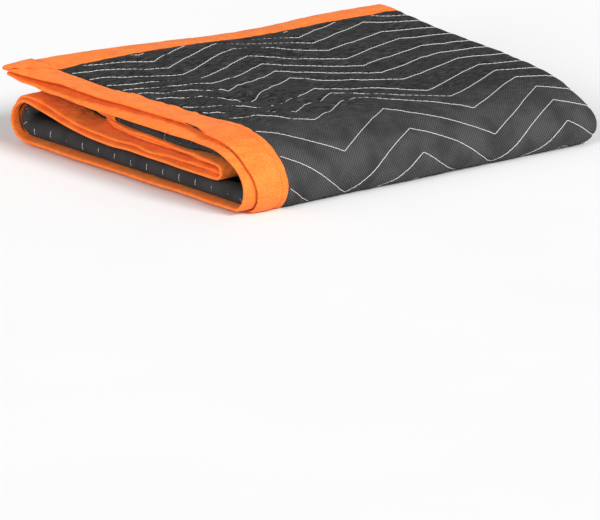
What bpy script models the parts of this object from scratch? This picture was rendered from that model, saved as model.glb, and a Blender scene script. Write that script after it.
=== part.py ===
"""A quilted moving pad, folded in four each way, lying on a flat surface.

The pad is one quilted cloth sheet with an orange binding sewn round its four edges. It is first folded in
four across its width, so that a section has four layers: both side edges come to the near face, and the
cloth turns twice at the far end. That stack is then folded in four along its length: the top run, the front
turn, the bottom run, the back fold, the middle run, the inner turn and the inside run.

Axes while modelling: X runs from the near face to the far end, Y from the front turn to the back, Z is up.
The tables are in millimetres. The finished part is moved so that its box stands on its bottom centre.
"""

from collections import namedtuple
import math

import bpy
import numpy as np

MM = 0.001

# Cloth and binding
LAYER_PITCH = 4.8 * MM
CLOTH_THICKNESS = 4.2 * MM
CLOTH_UNDER_BINDING = 2.4 * MM
BINDING_WALL = 0.6 * MM
BINDING_WIDTH = 41.0 * MM
BINDING_BEVEL = 1.2 * MM
NOSE_FLAT = 1.1 * MM
CLEARANCE = 0.3 * MM
NOSE_WALL = 1.0 * MM
CLOTH_EDGE = NOSE_WALL + CLEARANCE
SEAM = BINDING_WIDTH + CLEARANCE
CLOTH_SHOULDER = SEAM + 0.5 * MM

# Quilting: zigzag rows that run along X
ROW_SPACING = 33.5 * MM
ZIGZAG_SWING = 27.0 * MM
ZIGZAG_TROUGH_X = 157.0 * MM
ZIGZAG_HALF_PERIOD = 111.0 * MM
GROOVE_DEPTH = 1.2 * MM
FIRST_ROW = 55.5 * MM
FRONT_TURN_STEPS = 8
SWING_FADE = 100.0 * MM

# Columns of points between the binding and the far turn. The quilted face has a few to each zigzag leg.
PLAIN_COLUMNS = [x * MM for x in (157, 268, 379, 490)]
COLUMNS_IN_A_LEG = 4
FIRST_QUILTED_COLUMN = 100.0 * MM

# Facets of the turns, and how the zigzag's swing ends round the far one
FAR_OUTER_FACETS = 6
FAR_INNER_FACETS = 4
ROLL_FACETS = 4
TURN_SWING = -0.5
FADING_SWINGS = [TURN_SWING * (1 - step / FAR_OUTER_FACETS) for step in range(1, FAR_OUTER_FACETS)]

# How far along X the near shape has become the far shape, where the stack is a little thinner. The shapes
# change evenly between these places, so that the faces of layers with many and with few columns stay a
# little apart.
BLEND_END = 430.0 * MM
FAR_SQUEEZE = 0.93
CHANGE_PLACES = [0.0] + PLAIN_COLUMNS + [600.0 * MM]

HALF_STACK = 1.5 * LAYER_PITCH + CLOTH_THICKNESS / 2

# A slope below this counts as level
LEVEL = 1e-6

# How much of a quad's rise counts when its diagonal is chosen
UP_SHARE = 0.4

# A section of the folded stack: the height of its middle at the near and the far side, and where along X
# its four ends lie: the outer and the inner bound edge, the black roll between them, and the far end
Section = namedtuple("Section", "near_y near_z far_y far_z outer_edge inner_edge roll far_end")

TOP_RUN = [
    Section(450, 86.2, 448, 66.3, -10, -2, 50, 574),
    Section(425, 82.5, 425, 67.3, -4, 0, 54, 572),
    Section(390, 77.4, 390, 66.8, 2, 0, 48, 566),
    Section(330, 75.6, 330, 64.6, 6, 0, 36, 561),
    Section(260, 75.8, 260, 63.4, 11, 0, 24, 558),
    Section(190, 76.6, 190, 63.0, 15, 0, 15, 554),
    Section(130, 76.6, 130, 62.8, 19, 0, 10, 545),
    Section(85, 76.0, 85, 62.4, 21, 0, 8, 538),
]
FRONT_TURN = [
    Section(62.0, 74.4, 58.0, 58.6, 21, 0, 8, 532),
    Section(46.0, 70.4, 42.0, 54.6, 21, 0, 8, 530),
    Section(32.5, 63.4, 27.5, 49.2, 21, 0, 8, 530),
    Section(20.0, 54.0, 16.5, 42.8, 21, 0, 8, 532),
    Section(11.2, 44.0, 9.0, 35.6, 21, 0, 8, 534),
    Section(7.4, 34.6, 4.9, 28.4, 21, 0, 8, 536),
    Section(7.2, 25.6, 4.3, 21.2, 21, 0, 8, 536),
    Section(10.8, 16.6, 8.2, 14.2, 21, 0, 8, 534),
    Section(21.0, 9.3, 19.0, 8.65, 21, 0, 8, 531),
]
BOTTOM_RUN = [
    Section(60, 9.3, 60, 8.65, 21, 0, 8, 530),
    Section(230, 9.3, 230, 8.65, 20, 0, 8, 555),
    Section(410, 9.3, 418, 8.65, 12, 0, 8, 568),
]
MIDDLE_RUN = [
    Section(370, 46.0, 370, 30.6, 6, 0, 8, 562),
    Section(330, 38.6, 330, 27.0, 6, 0, 8, 558),
    Section(295, 35.8, 295, 26.5, 6, 0, 8, 556),
    Section(240, 34.6, 240, 26.5, 6, 0, 8, 553),
    Section(150, 34.2, 150, 26.5, 8, 0, 8, 546),
    Section(90, 33.2, 112, 26.5, 11, 2, 12, 540),
]
INSIDE_RUN = [
    Section(90, 54.7, 112, 44.6, 16, 8, 18, 538),
    Section(140, 54.9, 140, 44.6, 20, 14, 22, 542),
    Section(210, 55.2, 210, 44.6, 22, 17, 30, 549),
    Section(318, 56.2, 318, 44.9, 24, 20, 40, 554),
]


class HalfTurn(namedtuple("HalfTurn", "centre_y bottom_z radius_y radius_z")):
    """A half ellipse in the Y-Z plane that the middle of the stack follows upwards."""

    def point(self, angle, outward):
        y = self.centre_y + outward * self.radius_y * math.sin(angle)
        return y, self.bottom_z + self.radius_z * (1 - math.cos(angle))


BACK_FOLD_NEAR = HalfTurn(418.5, 9.3, 23.8, 21.8)
BACK_FOLD_FAR = HalfTurn(426.0, 8.65, 15.5, 13.0)
INNER_TURN_NEAR = HalfTurn(64.0, 33.0, 10.8, 10.8)
INNER_TURN_FAR = HalfTurn(84.0, 26.5, 9.05, 9.05)

# Soft ridges and troughs of the top run: where their middle is, how far they reach each way, and how much
# the top of the pad rises there. The run's lower layers move in proportion, and its underside stays.
Lift = namedtuple("Lift", "x y reach_x reach_y rise")
LIFTS = [
    Lift(200, 385, 110, 34, 9.0),
    Lift(270, 335, 60, 28, 7.5),
    Lift(400, 345, 60, 45, 4.5),
    Lift(130, 265, 60, 45, 4.0),
    Lift(270, 195, 60, 32, -4.5),
    Lift(172, 186, 34, 22, -3.0),
    Lift(140, 100, 80, 17, 3.5),
    Lift(185, 150, 55, 20, -2.0),
    Lift(390, 118, 45, 26, -6.5),
    Lift(472, 440, 62, 60, 3.5),
]
LIFT_FADE = 50.0 * MM


def half_turn_sections(near, far, outward, facets, edges):
    """Sections round a half turn. The edges are (outer_edge, inner_edge, roll, far_end) at its two ends."""
    sections = []
    for step in range(facets + 1):
        share = step / facets
        angle = math.pi * share
        ends = [a + (b - a) * share for a, b in zip(*edges)]
        sections.append(Section(*near.point(angle, outward), *far.point(angle, outward), *ends))
    return sections


BACK_FOLD = half_turn_sections(BACK_FOLD_NEAR, BACK_FOLD_FAR, 1, 8, ((10, 0, 8, 568), (6, 0, 8, 564)))
INNER_TURN = half_turn_sections(INNER_TURN_NEAR, INNER_TURN_FAR, -1, 6, ((12, 3, 13, 538), (14, 5, 15, 537)))
SECTIONS = TOP_RUN + FRONT_TURN + BOTTOM_RUN + BACK_FOLD + MIDDLE_RUN + INNER_TURN + INSIDE_RUN


class SmoothTable:
    """Columns of numbers that follow a length on smooth curves. A level stretch stays level."""

    def __init__(self, length, rows):
        self.length = length
        self.rows = rows
        step = np.diff(length)[:, None]
        slope = np.diff(rows, axis=0) / step
        self.slope = np.zeros_like(rows)
        self.slope[0] = slope[0]
        self.slope[-1] = slope[-1]
        before, after = slope[:-1], slope[1:]
        mean = (rows[2:] - rows[:-2]) / (step[1:] + step[:-1])
        level = (np.abs(before) < LEVEL) | (np.abs(after) < LEVEL)
        self.slope[1:-1] = np.where(level, 0.0, mean)

    def at(self, length):
        """The columns at a length along the table, and how fast each of them changes there."""
        index = int(np.clip(np.searchsorted(self.length, length) - 1, 0, len(self.length) - 2))
        step = self.length[index + 1] - self.length[index]
        s = (length - self.length[index]) / step
        first, last = self.rows[index], self.rows[index + 1]
        leave, arrive = self.slope[index] * step, self.slope[index + 1] * step
        value = ((2 * s**3 - 3 * s**2 + 1) * first + (s**3 - 2 * s**2 + s) * leave
                 + (3 * s**2 - 2 * s**3) * last + (s**3 - s**2) * arrive)
        change = ((6 * s**2 - 6 * s) * first + (3 * s**2 - 4 * s + 1) * leave
                  + (6 * s - 6 * s**2) * last + (3 * s**2 - 2 * s) * arrive) / step
        return value, change


def smooth_step(value):
    value = min(max(value, 0.0), 1.0)
    return value * value * (3 - 2 * value)


class FoldedStack:
    """The path that the four-layer stack follows, and the places of points on it."""

    def __init__(self):
        rows = np.array(SECTIONS, dtype=float) * MM
        near = rows[:, 0:2]
        steps = np.linalg.norm(np.diff(near, axis=0), axis=1)
        self.knots = np.concatenate([[0.0], np.cumsum(steps)])
        self.table = SmoothTable(self.knots, rows)
        self.total = self.knots[-1]
        self.blends = [smooth_step(place / BLEND_END) for place in CHANGE_PLACES]
        self.top_end = self.knots[len(TOP_RUN + FRONT_TURN) - 1]

    def section(self, length):
        return Section(*self.table.at(length)[0])

    def place(self, x, height, length):
        """The point at x along the pad, a height off the stack's middle, at a length along the path."""
        value, change = self.table.at(length)
        blend = float(np.interp(x, CHANGE_PLACES, self.blends))
        y = value[0] + (value[2] - value[0]) * blend
        z = value[1] + (value[3] - value[1]) * blend
        along_y = change[0] + (change[2] - change[0]) * blend
        along_z = change[1] + (change[3] - change[1]) * blend
        size = math.hypot(along_y, along_z)
        if length < self.top_end:
            lifts = [self.lift(place, y) for place in CHANGE_PLACES]
            lift = float(np.interp(x, CHANGE_PLACES, lifts))
            lift *= smooth_step((self.top_end - length) / LIFT_FADE)
            height += lift * (height + HALF_STACK) / (2 * HALF_STACK)
        height *= 1 - (1 - FAR_SQUEEZE) * blend
        return x, y + height * along_z / size, z - height * along_y / size

    def lift(self, x, y):
        total = 0.0
        for row in LIFTS:
            across = (x - row.x * MM) / (row.reach_x * MM)
            along = (y - row.y * MM) / (row.reach_y * MM)
            total += row.rise * MM * math.exp(-0.5 * (across**2 + along**2))
        return total


# How many points of the tape's section lie on its outside
OUTSIDE_POINTS = 6

# One point of the section's middle line: x, height off the stack's middle, the direction of the cloth's
# first face there, whether it lies under a side binding, and how much of the zigzag it takes
Column = namedtuple("Column", "x height face_x face_h bound swing")


def zigzag(x):
    """The zigzag's place across its rows, from -1 at a peak to 1 at a trough."""
    turns = (x - ZIGZAG_TROUGH_X) / ZIGZAG_HALF_PERIOD
    return 1 - 2 * abs((turns + 1) % 2 - 1)


def quilted_columns():
    """Columns at the zigzag's corners and evenly between them."""
    first = FIRST_QUILTED_COLUMN
    last = PLAIN_COLUMNS[-1]
    step = ZIGZAG_HALF_PERIOD / COLUMNS_IN_A_LEG
    return [first] + [PLAIN_COLUMNS[0] + step * k for k in range(round((last - PLAIN_COLUMNS[0]) / step) + 1)]


def layer_columns(xs, layer, face_h, swings=None):
    height = layer * LAYER_PITCH
    swings = swings or [0.0] * len(xs)
    return [Column(x, height, 0.0, face_h, False, swing) for x, swing in zip(xs, swings)]


def turn_columns(centre_x, centre_layer, radius, facets, side, first_angle, face, swings=None):
    """Points inside a turn of the cloth. The first face looks out of the turn (1) or into it (-1)."""
    columns = []
    swings = swings or [0.0] * (facets - 1)
    for step in range(1, facets):
        angle = first_angle * (1 - 2 * step / facets)
        out_x, out_h = side * math.cos(angle), math.sin(angle)
        columns.append(Column(centre_x + radius * out_x, centre_layer * LAYER_PITCH + radius * out_h,
                              face * out_x, face * out_h, False, swings[step - 1]))
    return columns


def section_columns(section, quilted):
    """The section's middle line, from the outer bound edge through all four layers to the inner one."""
    turn_x = section.far_end - HALF_STACK
    roll_x = section.roll + LAYER_PITCH / 2 + CLOTH_THICKNESS / 2
    quarter = math.pi / 2

    def hemmed(edge, layer, face_h):
        height = layer * LAYER_PITCH
        return [Column(edge + CLOTH_EDGE, height, 0.0, face_h, True, 0.0),
                Column(edge + SEAM, height, 0.0, face_h, True, 0.0),
                Column(edge + CLOTH_SHOULDER, height, 0.0, face_h, False, 0.0)]

    xs = quilted_columns() if quilted else PLAIN_COLUMNS
    columns = hemmed(section.outer_edge, 1.5, 1.0)
    columns += layer_columns(xs + [turn_x], 1.5, 1.0, [zigzag(x) for x in xs] + [TURN_SWING])
    columns += turn_columns(turn_x, 0.0, 1.5 * LAYER_PITCH, FAR_OUTER_FACETS, 1, quarter, 1, FADING_SWINGS)
    columns += layer_columns([turn_x] + PLAIN_COLUMNS[::-1] + [roll_x], -1.5, -1.0)
    columns += turn_columns(roll_x, -1.0, LAYER_PITCH / 2, ROLL_FACETS, -1, -quarter, 1)
    columns += layer_columns([roll_x] + PLAIN_COLUMNS + [turn_x], -0.5, 1.0)
    columns += turn_columns(turn_x, 0.0, LAYER_PITCH / 2, FAR_INNER_FACETS, 1, -quarter, -1)
    columns += layer_columns([turn_x] + PLAIN_COLUMNS[::-1], 0.5, -1.0)
    columns += hemmed(section.inner_edge, 0.5, -1.0)[::-1]
    return columns


# A station along the path: its length, whether it lies under an end binding, how deep the quilting is
# stitched in there and how much of the zigzag's swing it takes
Station = namedtuple("Station", "length bound groove swing")


def spread(first, last, count):
    return [first + (last - first) * step / count for step in range(count)]


def make_stations(stack):
    """Stations from the top end to the inside end, a groove and a crown for each quilting row that shows."""
    turn = stack.knots[len(TOP_RUN)]
    bottom_row = len(TOP_RUN + FRONT_TURN) - 1
    bottom = stack.knots[bottom_row]
    back_row = len(TOP_RUN + FRONT_TURN + BOTTOM_RUN)
    middle_row = back_row + len(BACK_FOLD)
    end = stack.total

    top_steps = 2 * round((turn - FIRST_ROW) / ROW_SPACING)
    stitched = spread(FIRST_ROW, turn, top_steps) + spread(turn, bottom, FRONT_TURN_STEPS)
    stations = [Station(CLOTH_EDGE, True, 0.0, 0.0), Station(SEAM, True, 0.0, 0.0)]
    stations.append(Station(CLOTH_SHOULDER, False, 0.0, 0.0))
    for number, length in enumerate(stitched):
        groove = GROOVE_DEPTH if number % 2 == 0 else 0.0
        swing = smooth_step((length - SEAM) / SWING_FADE) * smooth_step((bottom - length) / SWING_FADE)
        stations.append(Station(length, False, groove, swing * ZIGZAG_SWING))
    for row in range(bottom_row, len(SECTIONS) - 1):
        groove = GROOVE_DEPTH if back_row < row < middle_row and (row - back_row) % 2 else 0.0
        stations.append(Station(stack.knots[row], False, groove, 0.0))
    stations.append(Station(end - CLOTH_SHOULDER, False, 0.0, 0.0))
    stations += [Station(end - SEAM, True, 0.0, 0.0), Station(end - CLOTH_EDGE, True, 0.0, 0.0)]
    return stations


def add_solid(name, vertices, faces, material):
    mesh = bpy.data.meshes.new(name)
    mesh.from_pydata([tuple(vertex) for vertex in vertices], [], faces)
    mesh.validate()
    mesh.materials.append(material)
    mesh.shade_smooth()
    mesh.set_sharp_from_angle(angle=math.radians(40))
    piece = bpy.data.objects.new(name, mesh)
    bpy.context.scene.collection.objects.link(piece)
    return piece


def split_quad(vertices, a, b, c, d):
    """Two triangles for the quad a, b, c, d, cut the same way in every layer whichever way its cloth runs."""
    across = vertices[c][0] - vertices[a][0]
    back_and_up = vertices[c][1] - vertices[a][1] + UP_SHARE * (vertices[c][2] - vertices[a][2])
    if across * back_and_up > 0:
        return [(a, b, c), (a, c, d)]
    return [(a, b, d), (b, c, d)]


def signed_volume(vertices, faces):
    """Six times the volume that the triangles enclose, below zero where they face inwards."""
    points = np.array(vertices)
    a, b, c = (points[[face[corner] for face in faces]] for corner in range(3))
    return float(np.einsum("ij,ij->", a, np.cross(b, c)))


def strip_between(points, first_side, second_side):
    """Triangles that close the strip between two rows of points, by its shorter diagonals."""
    faces = []
    a, b = 0, 0
    while a < len(first_side) - 1 or b < len(second_side) - 1:
        step_first = math.inf
        step_second = math.inf
        if a < len(first_side) - 1:
            step_first = math.dist(points[first_side[a + 1]], points[second_side[b]])
        if b < len(second_side) - 1:
            step_second = math.dist(points[first_side[a]], points[second_side[b + 1]])
        if step_first <= step_second:
            faces.append((first_side[a], second_side[b], first_side[a + 1]))
            a += 1
        else:
            faces.append((first_side[a], second_side[b], second_side[b + 1]))
            b += 1
    return faces


def lofted_solid(name, rows, first_count, material):
    """A closed solid from rows of points that lie side by side round it, each from one end to the other.

    The first rows face the others across the solid's two ends. Rows may have different numbers of points.
    """
    vertices = []
    places = []
    for row in rows:
        places.append(list(range(len(vertices), len(vertices) + len(row))))
        vertices += row
    faces = []
    for row, following in zip(places, places[1:] + places[:1]):
        if len(row) == len(following):
            for k in range(len(row) - 1):
                faces += split_quad(vertices, row[k], row[k + 1], following[k + 1], following[k])
        else:
            faces += [face[::-1] for face in strip_between(vertices, row, following)]
    for end, turned in ((0, -1), (-1, 1)):
        first_side = [row[end] for row in places[:first_count]]
        second_side = [row[end] for row in places[:first_count - 1:-1]]
        faces += [face[::turned] for face in strip_between(vertices, first_side, second_side)]
    if signed_volume(vertices, faces) < 0:
        faces = [face[::-1] for face in faces]
    return add_solid(name, vertices, faces, material)


def rows_of(rings):
    """The same points, as one row for each place round the rings."""
    return [list(row) for row in zip(*rings)]


def half_thickness(column, station):
    return (CLOTH_UNDER_BINDING if column.bound or station.bound else CLOTH_THICKNESS) / 2


def point_off(stack, column, off, length):
    """The point at a distance off the cloth's middle, towards its first face."""
    return stack.place(column.x + column.face_x * off, column.height + column.face_h * off, length)


def panel_rows(stack, stations):
    """Rows of the quilted sheet along its path: its first face from edge to edge, then the other back."""
    rings = []
    for station in stations:
        section = stack.section(station.length)
        first_face, other_face = [], []
        for column in section_columns(section, quilted=True):
            half = half_thickness(column, station)
            if column.height > LAYER_PITCH and not column.bound:
                half -= station.groove
            length = station.length + station.swing * column.swing
            first_face.append(point_off(stack, column, half, length))
        for column in section_columns(section, quilted=False):
            other_face.append(point_off(stack, column, -half_thickness(column, station), station.length))
        rings.append(first_face + other_face[::-1])
    return rows_of(rings), len(first_face)


def binding_profile():
    """The folded tape's section: distance in from the bound edge, and distance off the cloth's middle."""
    outer = CLOTH_THICKNESS / 2
    inner = outer - BINDING_WALL
    outside = [(BINDING_WIDTH, outer), (BINDING_BEVEL, outer), (0.0, NOSE_FLAT),
               (0.0, -NOSE_FLAT), (BINDING_BEVEL, -outer), (BINDING_WIDTH, -outer)]
    inside = [(BINDING_WIDTH, -inner), (NOSE_WALL, -inner), (NOSE_WALL, inner), (BINDING_WIDTH, inner)]
    return outside + inside


def side_binding_rows(stack, stations, edge_name, layer, face_h):
    lengths = [station.length for station in stations]
    lengths[0], lengths[-1] = 0.0, stack.total
    height = layer * LAYER_PITCH
    rings = []
    for length in lengths:
        edge = getattr(stack.section(length), edge_name)
        rings.append([stack.place(edge + inward, height + face_h * off, length)
                      for inward, off in binding_profile()])
    return rows_of(rings)


def end_binding_rows(stack, end_length, inward_sign):
    """Rows of an end binding. It lies between the side bindings, so it leaves out their own columns."""
    rows = []
    for inward, off in binding_profile():
        length = end_length + inward_sign * inward
        columns = section_columns(stack.section(length), quilted=off > 0)
        rows.append([point_off(stack, column, off, length) for column in columns[1:-1]])
    return rows


def cloth_material(name, colour, roughness):
    material = bpy.data.materials.new(name)
    material.use_nodes = True
    shader = material.node_tree.nodes["Principled BSDF"]
    shader.inputs["Base Color"].default_value = (*colour, 1.0)
    shader.inputs["Roughness"].default_value = roughness
    shader.inputs["Metallic"].default_value = 0.0
    return material


def move_to_origin(pieces):
    """Move the meshes so that the part's box stands on the origin with its bottom centre."""
    corners = np.array([vertex.co[:] for piece in pieces for vertex in piece.data.vertices])
    low, high = corners.min(axis=0), corners.max(axis=0)
    middle = (low + high) / 2
    for piece in pieces:
        for vertex in piece.data.vertices:
            vertex.co.x -= middle[0]
            vertex.co.y -= middle[1]
            vertex.co.z -= low[2]


def main():
    for item in list(bpy.data.objects):
        bpy.data.objects.remove(item, do_unlink=True)
    stack = FoldedStack()
    stations = make_stations(stack)
    cloth = cloth_material("quilted_cloth", (0.035, 0.035, 0.037), 0.85)
    tape = cloth_material("binding", (0.90, 0.17, 0.02), 0.75)

    rows, first_count = panel_rows(stack, stations)
    pieces = [lofted_solid("quilted_panel", rows, first_count, cloth)]
    for name, edge_name, layer, face_h in (("side_binding_outer", "outer_edge", 1.5, 1.0),
                                           ("side_binding_inner", "inner_edge", 0.5, 1.0)):
        rows = side_binding_rows(stack, stations, edge_name, layer, face_h)
        pieces.append(lofted_solid(name, rows, OUTSIDE_POINTS, tape))
    for name, end_length, inward_sign in (("end_binding_top", 0.0, 1),
                                          ("end_binding_inside", stack.total, -1)):
        rows = end_binding_rows(stack, end_length, inward_sign)
        pieces.append(lofted_solid(name, rows, OUTSIDE_POINTS, tape))
    move_to_origin(pieces)


main()
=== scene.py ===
"""The looks of the folded moving pad: quilted charcoal cloth, orange binding, thread, floor, camera, light.

The cloth follows the same fold as the frame's solids, so their tables and fold functions come again here.
Their axes: X runs from the near face to the far end, Y from the front turn to the back, Z is up. The tables
are in millimetres, everything else in metres.
"""

from collections import namedtuple
import math

import bmesh
import bpy
import numpy as np
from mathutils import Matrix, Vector


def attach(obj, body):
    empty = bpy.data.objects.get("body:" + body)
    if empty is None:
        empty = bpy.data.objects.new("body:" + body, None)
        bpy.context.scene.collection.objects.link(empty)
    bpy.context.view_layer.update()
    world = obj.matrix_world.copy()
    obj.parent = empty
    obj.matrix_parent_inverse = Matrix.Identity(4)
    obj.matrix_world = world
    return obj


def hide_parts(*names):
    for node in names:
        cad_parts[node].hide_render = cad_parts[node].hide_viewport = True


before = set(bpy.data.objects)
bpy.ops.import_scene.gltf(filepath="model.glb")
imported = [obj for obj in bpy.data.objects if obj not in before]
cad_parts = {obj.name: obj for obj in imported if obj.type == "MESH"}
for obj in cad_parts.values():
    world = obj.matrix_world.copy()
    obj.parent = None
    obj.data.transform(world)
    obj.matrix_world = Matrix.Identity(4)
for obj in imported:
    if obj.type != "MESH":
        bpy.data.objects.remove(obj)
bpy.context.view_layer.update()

MM = 0.001

# Cloth and binding
LAYER_PITCH = 4.8 * MM
CLOTH_THICKNESS = 4.2 * MM
CLOTH_UNDER_BINDING = 2.4 * MM
CLOTH_EDGE = 1.3 * MM
BINDING_WIDTH = 41.0 * MM
BINDING_GAP = 0.3 * MM
SEAM = BINDING_WIDTH + BINDING_GAP
HALF_STACK = 1.5 * LAYER_PITCH + CLOTH_THICKNESS / 2

# The path's near shape turns into its far shape up to BLEND_END, and its height shrinks to FAR_SQUEEZE there.
# A lift of the top fades out over the end of the front turn. A slope below LEVEL counts as level.
BLEND_END = 430.0 * MM
FAR_SQUEEZE = 0.93
LIFT_FADE = 50.0 * MM
LEVEL = 1e-6

# The middle of the solids' box in the tables' axes
PAD_MIDDLE = np.array([281.95, 223.87, 0.0]) * MM

# A section of the folded stack: the height of its middle at the near and the far side, and where along X
# its four ends lie: the outer and the inner bound edge, the black roll between them, and the far end
Section = namedtuple("Section", "near_y near_z far_y far_z outer_edge inner_edge roll far_end")

TOP_RUN = [Section(*row) for row in [
    (450, 86.2, 448, 66.3, -10, -2, 50, 574),
    (425, 82.5, 425, 67.3, -4, 0, 54, 572),
    (390, 77.4, 390, 66.8, 2, 0, 48, 566),
    (330, 75.6, 330, 64.6, 6, 0, 36, 561),
    (260, 75.8, 260, 63.4, 11, 0, 24, 558),
    (190, 76.6, 190, 63.0, 15, 0, 15, 554),
    (130, 76.6, 130, 62.8, 19, 0, 10, 545),
    (85, 76.0, 85, 62.4, 21, 0, 8, 538),
]]
FRONT_TURN = [Section(*row) for row in [
    (62.0, 74.4, 58.0, 58.6, 21, 0, 8, 532),
    (46.0, 70.4, 42.0, 54.6, 21, 0, 8, 530),
    (32.5, 63.4, 27.5, 49.2, 21, 0, 8, 530),
    (20.0, 54.0, 16.5, 42.8, 21, 0, 8, 532),
    (11.2, 44.0, 9.0, 35.6, 21, 0, 8, 534),
    (7.4, 34.6, 4.9, 28.4, 21, 0, 8, 536),
    (7.2, 25.6, 4.3, 21.2, 21, 0, 8, 536),
    (10.8, 16.6, 8.2, 14.2, 21, 0, 8, 534),
    (21.0, 9.3, 19.0, 8.65, 21, 0, 8, 531),
]]
BOTTOM_RUN = [Section(*row) for row in [
    (60, 9.3, 60, 8.65, 21, 0, 8, 530),
    (230, 9.3, 230, 8.65, 20, 0, 8, 555),
    (410, 9.3, 418, 8.65, 12, 0, 8, 568),
]]
MIDDLE_RUN = [Section(*row) for row in [
    (370, 46.0, 370, 30.6, 6, 0, 8, 562),
    (330, 38.6, 330, 27.0, 6, 0, 8, 558),
    (295, 35.8, 295, 26.5, 6, 0, 8, 556),
    (240, 34.6, 240, 26.5, 6, 0, 8, 553),
    (150, 34.2, 150, 26.5, 8, 0, 8, 546),
    (90, 33.2, 112, 26.5, 11, 2, 12, 540),
]]
INSIDE_RUN = [Section(*row) for row in [
    (90, 54.7, 112, 44.6, 16, 8, 18, 538),
    (140, 54.9, 140, 44.6, 20, 14, 22, 542),
    (210, 55.2, 210, 44.6, 22, 17, 30, 549),
    (318, 56.2, 318, 44.9, 24, 20, 40, 554),
]]


class HalfTurn(namedtuple("HalfTurn", "centre_y bottom_z radius_y radius_z")):
    """A half ellipse in the Y-Z plane that the middle of the stack follows upwards."""

    def point(self, angle, outward):
        y = self.centre_y + outward * self.radius_y * math.sin(angle)
        return y, self.bottom_z + self.radius_z * (1 - math.cos(angle))


BACK_FOLD_NEAR = HalfTurn(418.5, 9.3, 23.8, 21.8)
BACK_FOLD_FAR = HalfTurn(426.0, 8.65, 15.5, 13.0)
INNER_TURN_NEAR = HalfTurn(64.0, 33.0, 10.8, 10.8)
INNER_TURN_FAR = HalfTurn(84.0, 26.5, 9.05, 9.05)

# Soft ridges and troughs of the top run: where their middle is, how far they reach each way, and how much
# the top of the pad rises there. The run's lower layers move in proportion, and its underside stays.
Lift = namedtuple("Lift", "x y reach_x reach_y rise")
LIFTS = [Lift(*row) for row in [
    (200, 385, 110, 34, 9.0),
    (270, 335, 60, 28, 7.5),
    (400, 345, 60, 45, 4.5),
    (130, 265, 60, 45, 4.0),
    (270, 195, 60, 32, -4.5),
    (172, 186, 34, 22, -3.0),
    (140, 100, 80, 17, 3.5),
    (185, 150, 55, 20, -2.0),
    (390, 118, 45, 26, -6.5),
    (472, 440, 62, 60, 3.5),
]]


def half_turn_sections(near, far, outward, facets, edges):
    """Sections round a half turn. The edges are (outer_edge, inner_edge, roll, far_end) at its two ends."""
    sections = []
    for step in range(facets + 1):
        share = step / facets
        angle = math.pi * share
        ends = [a + (b - a) * share for a, b in zip(*edges)]
        sections.append(Section(*near.point(angle, outward), *far.point(angle, outward), *ends))
    return sections


BACK_FOLD = half_turn_sections(BACK_FOLD_NEAR, BACK_FOLD_FAR, 1, 8, ((10, 0, 8, 568), (6, 0, 8, 564)))
INNER_TURN = half_turn_sections(INNER_TURN_NEAR, INNER_TURN_FAR, -1, 6, ((12, 3, 13, 538), (14, 5, 15, 537)))
SECTIONS = TOP_RUN + FRONT_TURN + BOTTOM_RUN + BACK_FOLD + MIDDLE_RUN + INNER_TURN + INSIDE_RUN


class SmoothTable:
    """Columns of numbers that follow a length on smooth curves. A level stretch stays level."""

    def __init__(self, length, rows):
        self.length = length
        self.rows = rows
        step = np.diff(length)[:, None]
        slope = np.diff(rows, axis=0) / step
        self.slope = np.zeros_like(rows)
        self.slope[0] = slope[0]
        self.slope[-1] = slope[-1]
        mean = (rows[2:] - rows[:-2]) / (step[1:] + step[:-1])
        level = (np.abs(slope[:-1]) < LEVEL) | (np.abs(slope[1:]) < LEVEL)
        self.slope[1:-1] = np.where(level, 0.0, mean)

    def at(self, length):
        """The columns at each length along the table, and how fast each of them changes there."""
        length = np.asarray(length, dtype=float)
        index = np.clip(np.searchsorted(self.length, length) - 1, 0, len(self.length) - 2)
        step = (self.length[index + 1] - self.length[index])[..., None]
        s = (length - self.length[index])[..., None] / step
        first, last = self.rows[index], self.rows[index + 1]
        leave, arrive = self.slope[index] * step, self.slope[index + 1] * step
        value = ((2 * s**3 - 3 * s**2 + 1) * first + (s**3 - 2 * s**2 + s) * leave
                 + (3 * s**2 - 2 * s**3) * last + (s**3 - s**2) * arrive)
        change = ((6 * s**2 - 6 * s) * first + (3 * s**2 - 4 * s + 1) * leave
                  + (6 * s - 6 * s**2) * last + (3 * s**2 - 2 * s) * arrive) / step
        return value, change


def smooth_step(value):
    value = np.clip(value, 0.0, 1.0)
    return value * value * (3 - 2 * value)


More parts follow.
